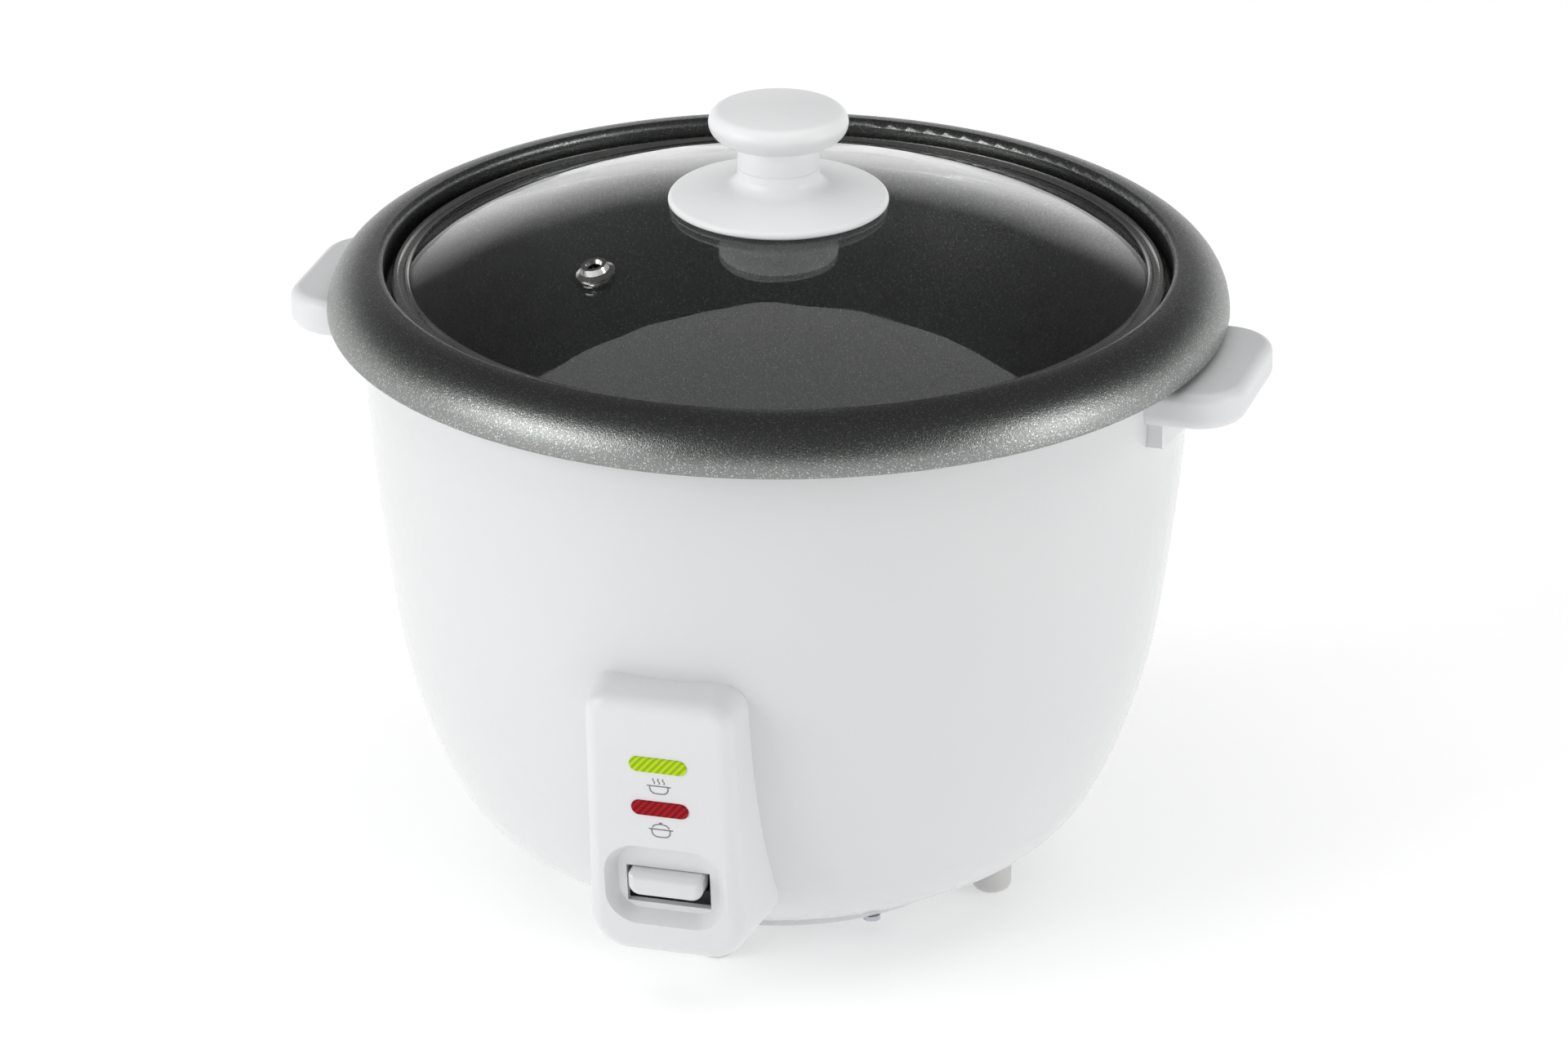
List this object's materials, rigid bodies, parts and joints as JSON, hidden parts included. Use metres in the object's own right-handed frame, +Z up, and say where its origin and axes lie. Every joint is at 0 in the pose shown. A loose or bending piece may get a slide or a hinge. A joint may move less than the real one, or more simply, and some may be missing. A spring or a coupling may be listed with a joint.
{
  "type": "rice cooker",
  "caption": "Round white rice cooker with a lift-out dark pot, domed glass lid with a knob, side ledge handles and a lever key on a front panel.",
  "frame": {"origin": "on the floor, under the middle of the round body", "axes": "+X to the right handle, -Y out of the control panel, +Z up"},
  "size_m": [0.296, 0.27, 0.2475],
  "materials": {
    "enamel": "gloss white enamel",
    "white_plastic": "satin moulded white plastic",
    "gloss_white": "gloss white plastic",
    "foot_plastic": "moulded light grey plastic",
    "black_plastic": "moulded black plastic",
    "green_lens": "clear green ribbed lens",
    "red_lens": "clear red ribbed lens",
    "lamp_glass": "neon lamp glass",
    "nonstick": "dark grey non-stick coating with fine fleck",
    "cast_aluminium": "turned cast aluminium",
    "liner_metal": "drawn aluminium sheet",
    "steel": "bright stainless steel",
    "zinc_steel": "zinc plated steel",
    "spring_steel": "drawn spring wire",
    "brass": "plain brass",
    "ferrite": "sintered ferrite",
    "ceramic": "glazed ceramic",
    "mica": "mica sheet",
    "glass": "clear tempered glass",
    "silicone": "translucent silicone"
  },
  "bodies": {
    "base": {"outer_shell": "enamel", "inner_liner": "liner_metal", "keep_warm_band": "mica", "heating_plate": "cast_aluminium", "heating_element": "steel", "plate_screws": "zinc_steel", "thermostat_housing": "zinc_steel", "thermostat_screws": "zinc_steel", "lever_pin": "steel", "lever_bracket": "zinc_steel", "bracket_screws": "zinc_steel", "microswitch": "black_plastic", "switch_screws": "zinc_steel", "base_cover": "white_plastic", "base_screws": "zinc_steel", "foot_front": "foot_plastic", "foot_right": "foot_plastic", "foot_back": "foot_plastic", "foot_left": "foot_plastic", "foot_screws": "zinc_steel", "terminal_block": "ceramic", "thermal_fuse": "zinc_steel", "fuse_clip": "zinc_steel", "power_inlet": "white_plastic", "inlet_pins": "brass", "inlet_screws": "zinc_steel", "front_panel": "white_plastic", "panel_screws": "zinc_steel", "green_lens": "green_lens", "red_lens": "red_lens", "green_lamp": "lamp_glass", "red_lamp": "lamp_glass", "lamp_holder": "black_plastic", "handle_left": "white_plastic", "handle_right": "white_plastic", "handle_screws_left": "zinc_steel", "handle_screws_right": "zinc_steel"},
    "sensor": {"sensor_cap": "liner_metal", "ferrite": "ferrite", "sensor_spring": "spring_steel"},
    "magnet_set": {"magnet": "ferrite", "magnet_rod": "zinc_steel", "magnet_spring": "spring_steel"},
    "lever": {"cook_lever": "zinc_steel", "cook_key": "gloss_white"},
    "plunger": {"switch_plunger": "black_plastic"},
    "pot": {"inner_pot": "nonstick"},
    "lid": {"lid_glass": "glass", "lid_ring": "steel", "steam_vent": "steel", "knob_base": "gloss_white", "knob_top": "gloss_white", "knob_washer": "silicone", "knob_screw": "steel"}
  },
  "joints": [
    {"name": "pot_lift", "type": "slide", "parent": "base", "child": "pot", "axis": [0, 0, 1], "range_m": [0, 0.2]},
    {"name": "lid_lift", "type": "slide", "parent": "pot", "child": "lid", "axis": [0, 0, 1], "range_m": [0, 0.15]},
    {"name": "cook_lever_tilt", "type": "hinge", "parent": "base", "child": "lever", "pos_m": [0, -0.06, 0.03], "axis": [1, 0, 0], "range_deg": [0, 3.8], "stiffness_Nm_per_rad": 0.6, "springref_deg": -6.88},
    {"name": "magnet_slide", "type": "slide", "parent": "base", "child": "magnet_set", "axis": [0, 0, 1], "range_m": [0, 0.004], "deforming": ["magnet_spring"]},
    {"name": "plunger_slide", "type": "slide", "parent": "base", "child": "plunger", "axis": [0, 0, 1], "range_m": [0, 0.001]},
    {"name": "sensor_slide", "type": "slide", "parent": "base", "child": "sensor", "axis": [0, 0, 1], "range_m": [-0.0012, 0], "stiffness_N_per_m": 400, "springref_m": 0.002, "deforming": ["sensor_spring"]}
  ],
  "couplings": [
    {"joint": "magnet_slide", "follows": "cook_lever_tilt", "m_per_rad": 0.06},
    {"joint": "plunger_slide", "follows": "cook_lever_tilt", "m_per_rad": 0.015}
  ]
}
